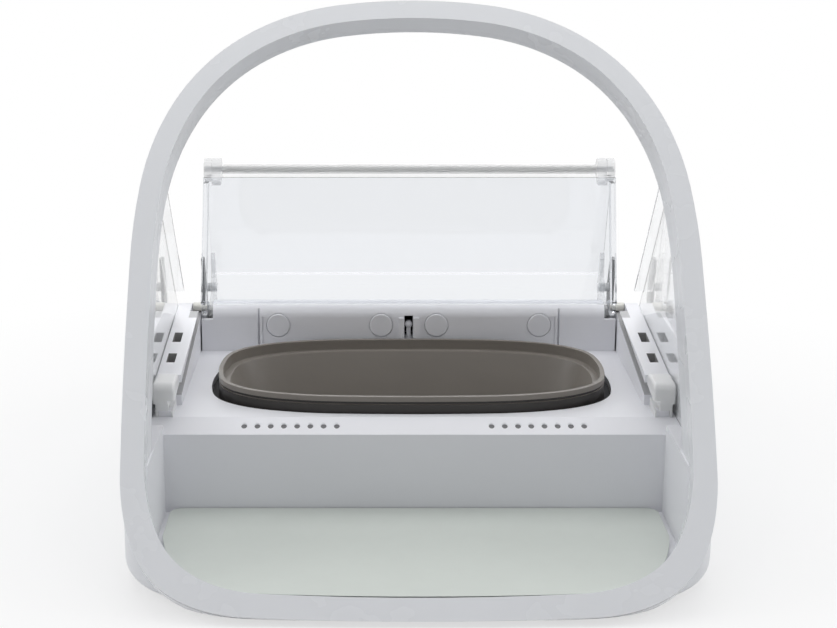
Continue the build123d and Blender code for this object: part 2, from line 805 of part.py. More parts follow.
def make_round_plugs():
    plugs = []
    for x in (-plug_places[1], -plug_places[0], plug_places[0], plug_places[1]):
        disc = plug_disc(x, plug_d, 1.0)
        plugs.append(chamfer(disc.edges().sort_by(Axis.Y)[0], 0.3))
    return Compound(plugs)


def make_centre_clip():
    """Small hook in the slot of the rear wall."""
    low_z = clip_slot_z[0]
    stem = block(-0.9, 0.9, rear_wall_y + 0.4, rear_wall_y + 3.4, low_z, low_z + 9)
    hook = Pos(0, rear_wall_y + 1.2, low_z + 7.6) * Sphere(1.7)
    foot = block(-clip_width / 2, clip_width / 2, rear_wall_y + 2.4, rear_wall_y + 3.8,
                 low_z, low_z + 2)
    return stem + hook + foot


# ---------------------------------------------------------------- rails and screens
def rail_body(grow):
    """Rail with a level foot on the deck, a sloping top and a rounded rear end."""
    end_z = rail_end_top_z - rail_end_round
    low_z = end_z - rail_end_round - grow
    rail = side_plate(
        [(rail_front_y - grow, deck_edge_z), (rail_front_y - grow, rail_front_top_z),
         (rail_end_y, rail_end_top_z + grow), (rail_end_y, low_z),
         (rear_wall_y - part_gap, low_z), (rear_wall_y - part_gap, deck_edge_z)],
        rail_inner - grow, rail_outer + grow)
    return rail + side_rod(rail_end_y, end_z, 2 * (rail_end_round + grow), rail_inner - grow,
                           rail_outer + grow)


def track(width):
    """Straight sloping groove for the track pins."""
    y0, z0 = on_track(closed_pin_y)
    y1, z1 = on_track(open_pin_y)
    half = width / 2
    drop_y, drop_z = half * math.sin(slope), half * math.cos(slope)
    groove = side_plate(
        [(y0 + drop_y, z0 - drop_z), (y1 + drop_y, z1 - drop_z),
         (y1 - drop_y, z1 + drop_z), (y0 - drop_y, z0 + drop_z)],
        rail_inner - 1, rail_inner + track_depth)
    for y, z in ((y0, z0), (y1, z1)):
        groove += side_rod(y, z, width, rail_inner - 1, rail_inner + track_depth)
    return groove


def make_right_rail():
    rail = rail_body(0)
    for slot_y in rail_slots:
        rail -= block(*rail_slot_x, *slot_y, deck_edge_z + 1, far)
    rail += block(98.0, 103.0, rail_front_y - 15, rail_front_y + 0.1, deck_edge_z,
                  deck_edge_z + rail_foot_height)
    return rail - track(track_width + 2 * liner_thickness)


def make_right_track_liner():
    """Dark wear strip round the walls of the track."""
    liner = track(track_width + 2 * liner_thickness - 0.02) - track(track_width)
    return liner & rail_body(0)


def make_right_rail_cap():
    """Rounded block over the front end of the rail."""
    y1 = rail_front_y - part_gap
    y0 = y1 - cap_length
    leg_top_z = deck_edge_z + 6
    top = block(96.0, rail_outer, y0 + 2, y1, leg_top_z, deck_edge_z + cap_height)
    top = fillet(top.edges().filter_by(Axis.X).group_by(Axis.Z)[-1], 3)
    top = fillet(top.edges().filter_by(Axis.Y).group_by(Axis.Z)[-1], 1.2)
    cap = top + block(97.2, rail_outer - 1, y0 + 3.5, y1 - 2, deck_edge_z, leg_top_z + 0.1)
    cap -= block(97.9, 103.1, y0 - 1, y1 + 1, deck_edge_z - 1,
                 deck_edge_z + rail_foot_height + 0.1)
    return cap - track(track_width + 1.0)


def screen_plate(gap):
    """Side view of a clear screen: along the hoop, down a slanted edge, on the deck."""
    foot_y, low_z = rear_wall_y - 0.5, deck_edge_z + part_gap
    corners = [(-100, low_z), (-60, screen_top[1]), screen_top, screen_foot,
               (screen_foot[0], screen_foot[1] - 5), (foot_y, screen_foot[1] - 7), (foot_y, low_z)]
    return side_plate(corners, screen_inner - gap, screen_inner + screen_thickness + gap)


def make_right_screen():
    plate = screen_plate(0)
    (y0, z0), (y1, z1) = screen_top, screen_foot
    lip = side_plate([(y0 - 2, z0), (y0, z0), (y1, z1), (y1 - 2, z1)],
                     screen_inner - 4, screen_inner + 0.1)
    lip &= block(-far, far, -far, 28, 74, far)
    return (plate + lip) & hoop_rear_space(-0.1)


def make_right_bracket():
    """Thin upright that holds one end of the rear hinge."""
    y, z = rear_hinge
    strip = side_plate([(y - 5.5, z - 10), (y - 5.5, z), (y - 8, z + 15.5), (y - 1.5, z + 15.5),
                        (y + 5.5, z), (y + 5.5, z - 11.5)], *bracket_x)
    stud = side_rod(y, z, rear_pin_d, sector_x - 1.6, bracket_x[0] + 0.1)
    return strip + stud


# ---------------------------------------------------------------- lid
def knuckle(place, x0, x1):
    """Barrel round the middle hinge and the arm that joins it to a panel."""
    barrel = side_rod(*fold_point, knuckle_d, x0, x1)
    arm = side_plate([place(panel_reach - 6.5, 0), place(panel_reach - 6.5, glass_offset + 1),
                      place(panel_reach - 3.2, glass_offset + 1), place(panel_reach - 1, 4.4),
                      place(panel_reach, 0)], x0, x1)
    return barrel + arm - side_rod(*fold_point, hinge_pin_d + 2 * running_clearance, x0 - 1, x1 + 1)


def panel_plate(place, start, low_half, high_half):
    """Clear plate that narrows towards the middle hinge."""
    lower = [place(start, glass_offset), place(start, glass_offset + glass_thickness)]
    upper = [place(plate_end, glass_offset + glass_thickness), place(plate_end, glass_offset)]
    plate = side_plate(lower + upper, -low_half, low_half)
    for wedge in both_sides(taper_wedge(place, start, low_half, high_half)):
        plate -= wedge
    return plate


def taper_wedge(place, start, low_half, high_half):
    """Space outside a panel's tapering side."""
    y0, z0 = place(start - 8, 0)
    y1, z1 = place(plate_end + 8, 0)
    spare = (low_half - high_half) * 8 / (plate_end - start)
    slice_face = Plane(origin=(0, y0, z0), x_dir=(1, 0, 0), z_dir=(0, z1 - z0, y0 - y1))
    length = math.dist((y0, z0), (y1, z1))
    direction = 1 if slice_face.y_dir.Y * (y1 - y0) + slice_face.y_dir.Z * (z1 - z0) > 0 else -1
    outline = Polyline((low_half + spare, 0), (high_half - spare, direction * length),
                       (high_half + 20, direction * length), (low_half + 20, 0), close=True)
    return extrude(slice_face * make_face(outline), amount=20, both=True)


def make_front_lid_panel():
    panel = panel_plate(front_at, 2.6, panel_half_low, panel_half_low)
    flange = side_plate([front_at(-1.5, -2.2), front_at(2.6, glass_offset + 0.1),
                         front_at(plate_end - 2.7, glass_offset + 0.1),
                         front_at(plate_end - 2.7, -2.2)],
                        panel_half_high - 2, panel_half_low)
    flange += side_rod(*open_pin, 2 * 3.2, panel_half_low - 2, panel_half_low)
    for side in both_sides(flange):
        panel += side
    inner = side_plate([front_at(-9, -9), front_at(-9, glass_offset), front_at(plate_end, glass_offset),
                        front_at(plate_end, -9)], -far / 4, far / 4)
    space = None
    for wedge in both_sides(taper_wedge(front_at, 2.6, panel_half_low, panel_half_high)):
        panel -= wedge
        moved = Pos(-2, 0, 0) * wedge if wedge.center().X > 0 else Pos(2, 0, 0) * wedge
        space = moved if space is None else space + moved
    panel -= inner - space
    for hole in both_sides(side_rod(*open_pin, track_pin_d - 1, panel_half_low - 3, panel_half_low + 1)):
        panel -= hole
    for barrel in make_front_knuckles():
        panel -= barrel
    return panel


def make_front_knuckles():
    return list(both_sides(knuckle(front_at, *front_knuckle)))


def make_rear_knuckles():
    return list(both_sides(knuckle(rear_at, *rear_knuckle)))


def make_rear_lid_panel():
    panel = panel_plate(rear_at, 4, panel_half_high, panel_half_high)
    for barrel in make_rear_knuckles():
        panel -= barrel
    return panel


def make_track_rollers():
    """Pins at the lid's lower corners, each with a stem pressed into the panel."""
    stem = side_rod(*open_pin, track_pin_d - 1, panel_half_low - 2, panel_half_low + 0.3)
    roller = side_rod(*open_pin, track_pin_d, panel_half_low + 0.1, rail_inner + track_depth - 0.4)
    return Compound(list(both_sides(stem + roller)))


def make_hinge_pin():
    return side_rod(*fold_point, hinge_pin_d, -panel_half_high, panel_half_high)


def make_hinge_tube():
    half = front_knuckle[0] - part_gap
    tube = side_rod(*fold_point, hinge_tube_d, -half, half)
    return tube - side_rod(*fold_point, hinge_pin_d + 2 * running_clearance, -half - 1, half + 1)


def make_right_sector():
    """Arm under the rear panel with the gear sector that lowers the lid."""
    x0, x1 = sector_x - 1, sector_x + 1
    teeth_points = involute_gear(sector_module, sector_teeth, mesh_angle, wanted=range(-9, 2))
    outline = [(rear_hinge_y + y, rear_hinge_z + z) for y, z in teeth_points]
    sector = side_plate(outline + [rear_hinge], x0, x1)
    hub = side_rod(*rear_hinge, 11, x0, x1)
    arm = side_plate([rear_at(-3, 0), rear_at(0, glass_offset - 0.1), rear_at(16, glass_offset - 0.1),
                      rear_at(14, glass_offset - 2.5), rear_at(6, 0)], x0, x1)
    body = sector + hub + arm
    for turn in (-85, -132):
        y, z = rotated((rear_hinge_y + 10.7, rear_hinge_z), rear_hinge, turn)
        body -= side_rod(y, z, 5.5, x0 - 1, x1 + 1)
    return body - side_rod(*rear_hinge, rear_pin_d + 2 * running_clearance, x0 - 1, x1 + 1)


# ---------------------------------------------------------------- drive
def make_drive_shaft():
    return side_rod(*drive_point, shaft_d, -92.6, 92.6)


def make_drive_pinions():
    """Pinion on each end of the shaft, a gap of each facing the sector."""
    first = mesh_angle + 180 + 180 / pinion_teeth
    pinion = gear(sector_module, pinion_teeth, first, drive_point, sector_x - gear_thickness / 2,
                  sector_x + gear_thickness / 2, shaft_d)
    collar = side_rod(*drive_point, 9, sector_x - gear_thickness / 2 - 3, sector_x - gear_thickness / 2)
    collar -= side_rod(*drive_point, shaft_d, 80, 95)
    return Compound(list(both_sides(pinion + collar)))


def make_shaft_gear():
    wheel = gear(wheel_module, wheel_teeth, motor_angle, drive_point, wheel_x, wheel_x + 4, shaft_d,
                 addendum=0.85)
    hub = side_rod(*drive_point, 9, wheel_x + 4, wheel_x + 8) - side_rod(
        *drive_point, shaft_d, wheel_x, wheel_x + 9)
    return wheel + hub


def make_motor_gear():
    first = motor_angle + 180 + 180 / motor_teeth
    return gear(wheel_module, motor_teeth, first, motor_point, wheel_x - 0.5, wheel_x + 4.5, 2.0,
                addendum=0.85, thinning=0.12)


def make_gearmotor():
    """Sealed gearbox, its small motor and its output shaft."""
    x0, x1, y0, y1, z0, z1 = motor_box
    case = block(x0, x1, y0, y1, z0, z1)
    case = fillet(case.edges().filter_by(Axis.X), 2)
    can = side_rod((y0 + y1) / 2, (z0 + z1) / 2, 16, x0 - 24, x0)
    boss = side_rod((y0 + y1) / 2, (z0 + z1) / 2, 5, x0 - 27, x0 - 24)
    spindle = side_rod(*motor_point, 2.0 - 2 * running_clearance, x1, wheel_x + 4.5)
    lug = block(x0 + 4, x1 - 4, y0 + 2, y1 - 2, z1, z1 + 1.2)
    return case + can + boss + spindle + lug


def make_shaft_bushes():
    bush = side_rod(*drive_point, shaft_d + 2 * bush_wall, *bush_x) - side_rod(
        *drive_point, shaft_d + 2 * running_clearance, bush_x[0] - 1, bush_x[1] + 1)
    return Compound(list(both_sides(bush)))


# ---------------------------------------------------------------- electrics
def make_control_board():
    front, top_z = board_y[0], board_z + board_thickness
    board = block(-board_half_width, board_half_width, *board_y, board_z, top_z)
    chip = block(-5, 5, front + 6, front + 16, top_z, top_z + 1.2)
    socket = block(-9, 9, front + 22, front + 28, top_z, top_z + 4.4)
    relay = block(-10, -3, front + 34, front + 46, top_z, top_z + 2.0)
    return board + chip + socket + relay


def make_cells():
    cells = []
    for x_side in (-1, 1):
        for row, y in enumerate(cell_rows):
            nub_side = x_side if row == 0 else -x_side
            x0 = x_side * cell_x - cell_length / 2
            x1 = x_side * cell_x + cell_length / 2
            nub_x = x1 if nub_side > 0 else x0 - 1.5
            can = side_rod(y, cell_z, cell_d, x0, x1)
            cells.append(can + side_rod(y, cell_z, 7, nub_x, nub_x + 1.5))
    return Compound(cells)


def make_contacts():
    """Leaf contacts at both ends of every cell."""
    leaves = []
    for x_side in (-1, 1):
        for y in cell_rows:
            for end in (-1, 1):
                x = x_side * cell_x + end * (cell_length / 2 + 1.7)
                leaf = block(x - 0.2, x + 0.2, y - 9, y + 9, floor_top_z, cell_z + 8)
                leaves.append(leaf + block(min(x, x + end * 5.2), max(x, x + end * 5.2), y - 4, y + 4,
                                           floor_top_z, floor_top_z + 0.4))
    return Compound(leaves)


# ---------------------------------------------------------------- buttons
def slope_plane():
    """Plane of the rear slope, under the middle button."""
    (y0, z0), (y1, z1) = case_profile[3], case_profile[4]
    middle = Vector(0, (y0 + y1) / 2 + 1, (z0 + z1) / 2 - 1 * (z0 - z1) / (y1 - y0))
    normal = Vector(0, z0 - z1, y1 - y0).normalized()
    return Plane(middle, x_dir=(1, 0, 0), z_dir=normal)


def button_face(index, grow):
    x = button_pitch * (index - 1)
    return Pos(x, 0) * SlotOverall(button_length + 2 * grow, button_width + 2 * grow)


def button_wells():
    plane = slope_plane()
    wells = []
    for index in range(3):
        hole = extrude(button_face(index, part_gap), amount=6, both=True)
        dish = Pos(0, 0, -0.6) * extrude(button_face(index, 1.8), amount=6)
        wells.append(plane * (hole + dish))
    return wells


def make_button(index):
    cap = Pos(0, 0, -case_wall - 0.2) * extrude(button_face(index, 0), amount=case_wall + button_proud)
    cap = fillet(cap.edges().group_by(Axis.Z)[-1], 0.7)
    flange = Pos(0, 0, flange_drop) * extrude(button_face(index, 1.2), amount=1.2)
    return slope_plane() * (cap + flange)


def make_key_pad():
    """Silicone pad under the three buttons."""
    pad = extrude(RectangleRounded(key_pad_length, 15, 3), amount=1.2)
    return slope_plane() * Pos(0, 0, key_pad_top - 1.2) * pad


def key_pad_posts():
    """Bars inside the cover that the pad's ends are fixed to."""
    bar = Box(1.6, 12, -key_pad_top - 1, align=(Align.CENTER, Align.CENTER, Align.MIN))
    bar = Pos(key_pad_length / 2 - 1.2, 0, key_pad_top) * bar
    return [slope_plane() * side for side in both_sides(bar)]


# ---------------------------------------------------------------- bowl and mat
def bowl_body(inset, top_z, floor_z, floor_round):
    """Body that tapers down to a rounded floor."""
    low = quarter_loop(bowl_length / 2 - inset, bowl_width / 2 - inset, bowl_power, 0, -1)
    high = quarter_loop(bowl_length / 2 - inset, bowl_width / 2 - inset, bowl_power, 0, 1)
    top = Pos(0, bowl_y, top_z) * closed_face(low + high[1:])
    body = extrude(top, amount=top_z - floor_z, dir=(0, 0, -1), taper=bowl_taper)
    return fillet(body.edges().group_by(Axis.Z)[0], floor_round)


def make_bowl():
    """Deep oval bowl: thin lip, groove, skirt, a step inside and a tapering body."""
    floor_z = bowl_rim_z - bowl_depth
    step_z = bowl_rim_z - bowl_step_depth
    shelf_z = step_z - 1.8
    inside = bowl_step + bowl_wall
    bowl = bowl_band(0, bowl_lip, bowl_rim_z - 2.2, bowl_rim_z)
    bowl += bowl_band(0.8, bowl_lip, bowl_rim_z - 3.4, bowl_rim_z - 2.2)
    bowl += bowl_band(0.1, bowl_lip, step_z, bowl_rim_z - 3.4)
    bowl += half_extrude(bowl_outline(0.1), shelf_z, step_z)
    bowl += bowl_band(0.1, bowl_lip, ledge_z, shelf_z)
    bowl += bowl_body(bowl_step, shelf_z, floor_z, bowl_floor_round)
    return bowl - bowl_body(inside, step_z, floor_z + bowl_wall, bowl_floor_round - bowl_wall / 2)


def make_mat():
    outline = Pos(0, riser_y - 50) * RectangleRounded(2 * mat_half_width, 99, mat_corner)
    mat = half_extrude(outline, tray_floor_z + 0.1, tray_floor_z + mat_thickness)
    mouth = extrude(hoop_outline(hoop_band + 0.5), amount=80, dir=backward)
    return mat & mouth


def make_feet():
    feet = []
    for x, y in foot_places:
        foot = Cylinder(foot_d / 2 - 0.05, foot_thickness, align=(Align.CENTER, Align.CENTER, Align.MIN))
        foot = chamfer(foot.edges().group_by(Axis.Z)[0], 0.6)
        feet += both_sides(Pos(x, y, 0) * foot)
    return Compound(feet)


# ---------------------------------------------------------------- build
def save_pair(shape, name):
    right, left = both_sides(shape)
    save(right, f"right_{name}")
    save(left, f"left_{name}")


def main():
    os.makedirs("parts", exist_ok=True)
    coil = make_antenna_coil()
    windows = make_windows()
    save(coil, "antenna_coil")
    save(Compound(windows), "sensor_windows")
    save(make_hoop_front(coil, windows), "hoop_front")
    save(make_hoop_rear(), "hoop_rear")

    case_outer = make_case_outer()
    save(make_base_shell(case_outer), "base_shell")
    save(make_rear_housing(case_outer), "rear_housing")
    save(make_deck_housing(), "deck_housing")
    save(make_rear_wall_panel(), "rear_wall_panel")
    save(make_round_plugs(), "round_plugs")
    save(make_centre_clip(), "centre_clip")

    save_pair(make_right_rail(), "rail")
    save_pair(make_right_track_liner(), "track_liner")
    save_pair(make_right_rail_cap(), "rail_cap")
    save_pair(make_right_screen(), "side_screen")
    save_pair(make_right_bracket(), "hinge_bracket")

    save(make_front_lid_panel(), "front_lid_panel")
    save(make_rear_lid_panel(), "rear_lid_panel")
    save(Compound(make_front_knuckles()), "front_knuckles")
    save(Compound(make_rear_knuckles()), "rear_knuckles")
    save(make_track_rollers(), "track_rollers")
    save(make_hinge_pin(), "lid_hinge_pin")
    save(make_hinge_tube(), "lid_hinge_tube")
    save_pair(make_right_sector(), "sector_arm")

    save(make_drive_shaft(), "drive_shaft")
    save(make_drive_pinions(), "drive_pinions")
    save(make_shaft_gear(), "shaft_gear")
    save(make_motor_gear(), "motor_gear")
    save(make_gearmotor(), "gearmotor")
    save(make_shaft_bushes(), "shaft_bushes")

    save(make_control_board(), "control_board")
    save(make_cells(), "battery_cells")
    save(make_contacts(), "battery_contacts")
    save_pair(make_battery_door(), "battery_door")
    for index, name in enumerate(button_names):
        save(make_button(index), name)
    save(make_key_pad(), "key_pad")

    save(make_bowl_gasket(), "bowl_gasket")
    save(make_bowl(), "bowl")
    save(make_mat(), "mat")
    save(make_feet(), "rubber_feet")
    save(Compound(list(both_sides(screw_shapes(0)))), "case_screws")


main()
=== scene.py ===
import json
import math

import bmesh
import bpy
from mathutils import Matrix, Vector


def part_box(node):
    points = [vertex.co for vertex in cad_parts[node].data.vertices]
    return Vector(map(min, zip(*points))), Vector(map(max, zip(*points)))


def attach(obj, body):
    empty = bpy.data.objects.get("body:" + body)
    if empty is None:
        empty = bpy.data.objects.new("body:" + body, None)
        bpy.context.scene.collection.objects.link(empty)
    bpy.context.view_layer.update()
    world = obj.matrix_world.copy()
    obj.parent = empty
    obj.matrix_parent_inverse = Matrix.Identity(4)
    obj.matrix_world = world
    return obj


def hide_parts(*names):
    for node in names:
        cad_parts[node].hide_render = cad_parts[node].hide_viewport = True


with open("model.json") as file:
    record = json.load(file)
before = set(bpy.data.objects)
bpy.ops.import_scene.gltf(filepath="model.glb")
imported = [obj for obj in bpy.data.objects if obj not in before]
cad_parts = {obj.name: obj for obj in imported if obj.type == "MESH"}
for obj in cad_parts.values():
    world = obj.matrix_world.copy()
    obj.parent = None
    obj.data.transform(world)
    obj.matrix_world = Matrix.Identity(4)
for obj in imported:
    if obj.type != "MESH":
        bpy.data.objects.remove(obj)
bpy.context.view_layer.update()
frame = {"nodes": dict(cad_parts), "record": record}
nodes = frame["nodes"]

# Pet feeder with a leaning hoop, a clear folding lid and a lift-out bowl.
# Metres, X to the right, Y to the back, Z up, as in the frame.

MM = 0.001
SAME_POINT = 0.01 * MM         # corners closer than this are one corner

# ---------------------------------------------------------------- camera
CAMERA_PLACE = (-0.01806, -0.6887, 0.2555)
CAMERA_PITCH = 15.0            # degrees down from level
CAMERA_LENS = 70.6             # millimetres, on a sensor of the width below
CAMERA_SENSOR = 36.0
CAMERA_SHIFT = 0.059           # share of the picture's width
CAMERA_CLIP = (0.01, 30.0)

# ---------------------------------------------------------------- lights and floor
LIGHT_TARGET = (0, 0, 0.06)
PANEL_LIGHTS = (               # name, place, size, watts
    ("top_softbox", (0.0, 0.10, 1.4), (1.3, 1.3), 9.2),
    ("left_softbox", (-1.3, 0.0, 0.8), (0.9, 0.9), 5.0),
    ("right_softbox", (1.3, 0.05, 0.75), (0.9, 0.9), 4.8),
    ("back_softbox", (0.0, 1.4, 0.9), (1.6, 0.8), 4.0),
)
WORLD_TINT = (0.97, 0.985, 1.0, 1)
WORLD_LIGHT = 0.36             # strength where it lights matt surfaces
PURE_WHITE = (1, 1, 1, 1)
FLOOR_REACH = 9.0
FLOOR_DROP = 0.3 * MM          # below the feet
FLOOR_COLOUR = (0.86, 0.86, 0.865, 1)
FLOOR_FADE = (0.16, 0.34)      # distances from the middle between which it turns white
FLOOR_WHITE = (0.62, 1.0)      # share of plain white at those distances

# ---------------------------------------------------------------- surfaces
NOISE_RANGE = (0.3, 0.7)       # noise lies mostly between these
ACRYLIC_IOR = 1.49
SHEET_ROUGHNESS = 0.03
SHEET_SHADOW = (0.97, 0.975, 0.98, 1)
POLYPROPYLENE_IOR = 1.46
MILKY_DEPTH = (6 * MM, 6 * MM, 6 * MM)
THIN_CLEAR_ALPHA = 0.30
RUBBER_ROUGHNESS = 0.75

# ---------------------------------------------------------------- rounded edges
EDGE_ANGLE = math.radians(32)  # sharper bends than this are rounded
EDGE_WIDTHS = (
    (0.5 * MM, ("base_shell", "rear_housing", "deck_housing", "left_rail", "right_rail")),
    (0.4 * MM, ("hoop_front", "hoop_rear", "mat", "left_battery_door", "right_battery_door")),
    (0.25 * MM, ("bowl", "rear_wall_panel", "left_side_screen", "right_side_screen",
                 "front_lid_panel", "rear_lid_panel", "left_rail_cap", "right_rail_cap",
                 "round_plugs")),
)
SMOOTH_ANGLE = math.radians(35)

# ---------------------------------------------------------------- places on the CAD nodes
LINING_LIFT = 0.04 * MM        # from the face it lies on

STRIP_MIDDLE = Vector((0, -65 * MM, 42 * MM))
STRIP_NORMAL = Vector((0, -0.37, 0.93)).normalized()
HOLE_RADIUS = 1.19 * MM
HOLES_PER_SIDE = 8
FIRST_HOLE = 31 * MM           # from the middle of the strip
HOLE_PITCH = 5.3 * MM
# the dark cups in the strip's holes are painted shade
SHADE_CUP_STEPS = 16
SHADE_CUP_PROFILE = ((0.6, -0.95), (1.0, -0.90), (1.0, -0.30), (0.9, -0.36), (0.5, -0.42))

# the slots' walls and floors get linings of painted shade
SLOT_SIDES = (99.0 * MM, 103.4 * MM)
SLOT_REACHES = ((-31.5 * MM, -20.5 * MM), (-8.5 * MM, 3.5 * MM))
SLOT_BOTTOM = 44.5 * MM
SLOT_FLOOR_TOP = 46 * MM

HOOP_LEAN = math.radians(38.4)
HOOP_FRONT_Y = -160 * MM       # a point of the hoop's front plane
HOOP_FRONT_Z = 2 * MM
# the seam groove between these depths gets a line of painted shade
SEAM_DEPTHS = (1.5 * MM, 1.8 * MM)
SEAM_LIFT = 0.52 * MM

BOWL_MIDDLE_Y = -21 * MM
# heights of the bowl's band of painted shade
BOWL_SHADE_HEIGHTS = (38 * MM, 48.8 * MM)

STUD_REACH = 94.85 * MM        # the brackets' studs stand inside this x
PACKAGE_HEIGHT = 4.4 * MM      # tallest package on the board
PACKAGE_START = 0.1 * MM       # above the board

FOOT_STEPS = 40
FOOT_PROFILE = ((0.30, 0.0), (0.52, 0.0), (0.56, 0.45), (0.66, 0.45), (0.70, 0.0),
                (0.93, 0.0), (0.985, 0.15), (1.0, 0.5))

# dark crosses of painted shade stand for the shade in the screw recesses
CROSS_REACH = 1.9 * MM
CROSS_HALF_WIDTH = 0.42 * MM
CROSS_START = 0.02 * MM        # above the head's lowest point
CROSS_THICKNESS = 0.06 * MM
CROSS_TAPER = 0.5


# ---------------------------------------------------------------- shader helpers
def new_material(name):
    material = bpy.data.materials.new(name)
    material.use_nodes = True
    tree = material.node_tree
    return material, tree, tree.nodes["Principled BSDF"]


def own_place(tree):
    """The object's own coordinates."""
    return tree.nodes.new("ShaderNodeTexCoord").outputs["Object"]


def noise(tree, scale, detail=3.0, roughness=0.55, stretch=(1, 1, 1)):
    """Noise in the object's own coordinates, stretched along its axes."""
    mapping = tree.nodes.new("ShaderNodeMapping")
    mapping.inputs["Scale"].default_value = stretch
    pattern = tree.nodes.new("ShaderNodeTexNoise")
    pattern.inputs["Scale"].default_value = scale
    pattern.inputs["Detail"].default_value = detail
    pattern.inputs["Roughness"].default_value = roughness
    tree.links.new(own_place(tree), mapping.inputs["Vector"])
    tree.links.new(mapping.outputs["Vector"], pattern.inputs["Vector"])
    return pattern.outputs["Fac"]


def spread(tree, factor, target, source=NOISE_RANGE):
    """Factor stretched from the source range to the target range."""
    ranged = tree.nodes.new("ShaderNodeMapRange")
    ranged.inputs["From Min"].default_value, ranged.inputs["From Max"].default_value = source
    ranged.inputs["To Min"].default_value, ranged.inputs["To Max"].default_value = target
    tree.links.new(factor, ranged.inputs["Value"])
    return ranged.outputs["Result"]


def blend_colours(tree, factor, first, second):
    """From the first colour to the second across the range of the noise."""
    ramp = tree.nodes.new("ShaderNodeValToRGB")
    for stop, position, colour in zip(ramp.color_ramp.elements, NOISE_RANGE, (first, second)):
        stop.position = position
        stop.color = (*colour, 1)
    tree.links.new(factor, ramp.inputs["Fac"])
    return ramp.outputs["Color"]


def bump(tree, shader, height, strength, distance):
    relief = tree.nodes.new("ShaderNodeBump")
    relief.inputs["Strength"].default_value = strength
    relief.inputs["Distance"].default_value = distance
    tree.links.new(height, relief.inputs["Height"])
    tree.links.new(relief.outputs["Normal"], shader.inputs["Normal"])


def combine(tree, operation, first, second):
    """Two values put together by one maths operation."""
    maths = tree.nodes.new("ShaderNodeMath")
    maths.operation = operation
    tree.links.new(first, maths.inputs[0])
    tree.links.new(second, maths.inputs[1])
    return maths.outputs["Value"]


def show_mix(tree, output, factor, first, second):
    """The output node shows the first shader at factor 0 and the second at 1."""
    mix = tree.nodes.new("ShaderNodeMixShader")
    tree.links.new(factor, mix.inputs["Fac"])
    tree.links.new(first, mix.inputs[1])
    tree.links.new(second, mix.inputs[2])
    tree.links.new(mix.outputs["Shader"], tree.nodes[output].inputs["Surface"])


def direct_ray(tree):
    """1 for rays from the camera, through clear pieces or off mirrors."""
    path = tree.nodes.new("ShaderNodeLightPath")
    seen = combine(tree, "MAXIMUM", path.outputs["Is Camera Ray"],
                   path.outputs["Is Transmission Ray"])
    return combine(tree, "MAXIMUM", seen, path.outputs["Is Glossy Ray"])


def shade(colour, share):
    return tuple(channel * share for channel in colour)


# ---------------------------------------------------------------- kinds of material
def moulded(name, colour, roughness, grain=1400, relief=0.12, mottle=0.012):
    """Moulded plastic: fine spark-eroded grain, faint flow marks and uneven gloss."""
    material, tree, shader = new_material(name)
    flow = noise(tree, scale=22, detail=2.0, roughness=0.5, stretch=(1, 1, 2.2))
    tree.links.new(blend_colours(tree, flow, shade(colour, 1 - mottle), colour),
                   shader.inputs["Base Color"])
    smudges = noise(tree, scale=34)
    tree.links.new(spread(tree, smudges, (roughness - 0.02, roughness + 0.03)),
                   shader.inputs["Roughness"])
    shader.inputs["Specular IOR Level"].default_value = 0.45
    bump(tree, shader, noise(tree, grain, detail=2.0, roughness=0.6), relief, 0.06 * MM)
    return material


def clear_sheet(name, tint):
    """Clear moulded sheet that lets lamps through, with faint waves and hairline scratches."""
    material, tree, shader = new_material(name)
    shader.inputs["Transmission Weight"].default_value = 1.0
    shader.inputs["IOR"].default_value = ACRYLIC_IOR
    shader.inputs["Base Color"].default_value = (*tint, 1)
    hairlines = noise(tree, scale=300, detail=5.0, roughness=0.7, stretch=(0.15, 1, 4))
    tree.links.new(spread(tree, hairlines, (SHEET_ROUGHNESS * 0.6, SHEET_ROUGHNESS * 1.8)),
                   shader.inputs["Roughness"])
    bump(tree, shader, noise(tree, scale=14, detail=1.0), 0.05, 0.4 * MM)
    path = tree.nodes.new("ShaderNodeLightPath")
    passing = tree.nodes.new("ShaderNodeBsdfTransparent")
    passing.inputs["Color"].default_value = SHEET_SHADOW
    show_mix(tree, "Material Output", path.outputs["Is Shadow Ray"],
             shader.outputs["BSDF"], passing.outputs["BSDF"])
    return material


def milky(name, colour, alpha=1.0):
    """Half-clear polypropylene, lit through from all sides."""
    material = moulded(name, colour, 0.30, grain=900, relief=0.05)
    shader = material.node_tree.nodes["Principled BSDF"]
    shader.inputs["IOR"].default_value = POLYPROPYLENE_IOR
    shader.inputs["Subsurface Weight"].default_value = 0.8
    shader.inputs["Subsurface Radius"].default_value = MILKY_DEPTH
    shader.inputs["Alpha"].default_value = alpha
    return material


def thin_clear(name, colour):
    """Clear moulding with many small faces, seen mostly through."""
    material = moulded(name, colour, 0.22, grain=900, relief=0.03)
    shader = material.node_tree.nodes["Principled BSDF"]
    shader.inputs["Alpha"].default_value = THIN_CLEAR_ALPHA
    return material


def metal(name, colour, roughness):
    """Drawn or brushed metal with fine lines along X."""
    material, tree, shader = new_material(name)
    lines = noise(tree, scale=60, detail=4.0, roughness=0.7, stretch=(1, 40, 40))
    tree.links.new(blend_colours(tree, lines, shade(colour, 0.86), colour),
                   shader.inputs["Base Color"])
    shader.inputs["Metallic"].default_value = 1.0
    tree.links.new(spread(tree, lines, (roughness - 0.07, roughness + 0.1)),
                   shader.inputs["Roughness"])
    bump(tree, shader, lines, 0.12, 0.04 * MM)
    return material


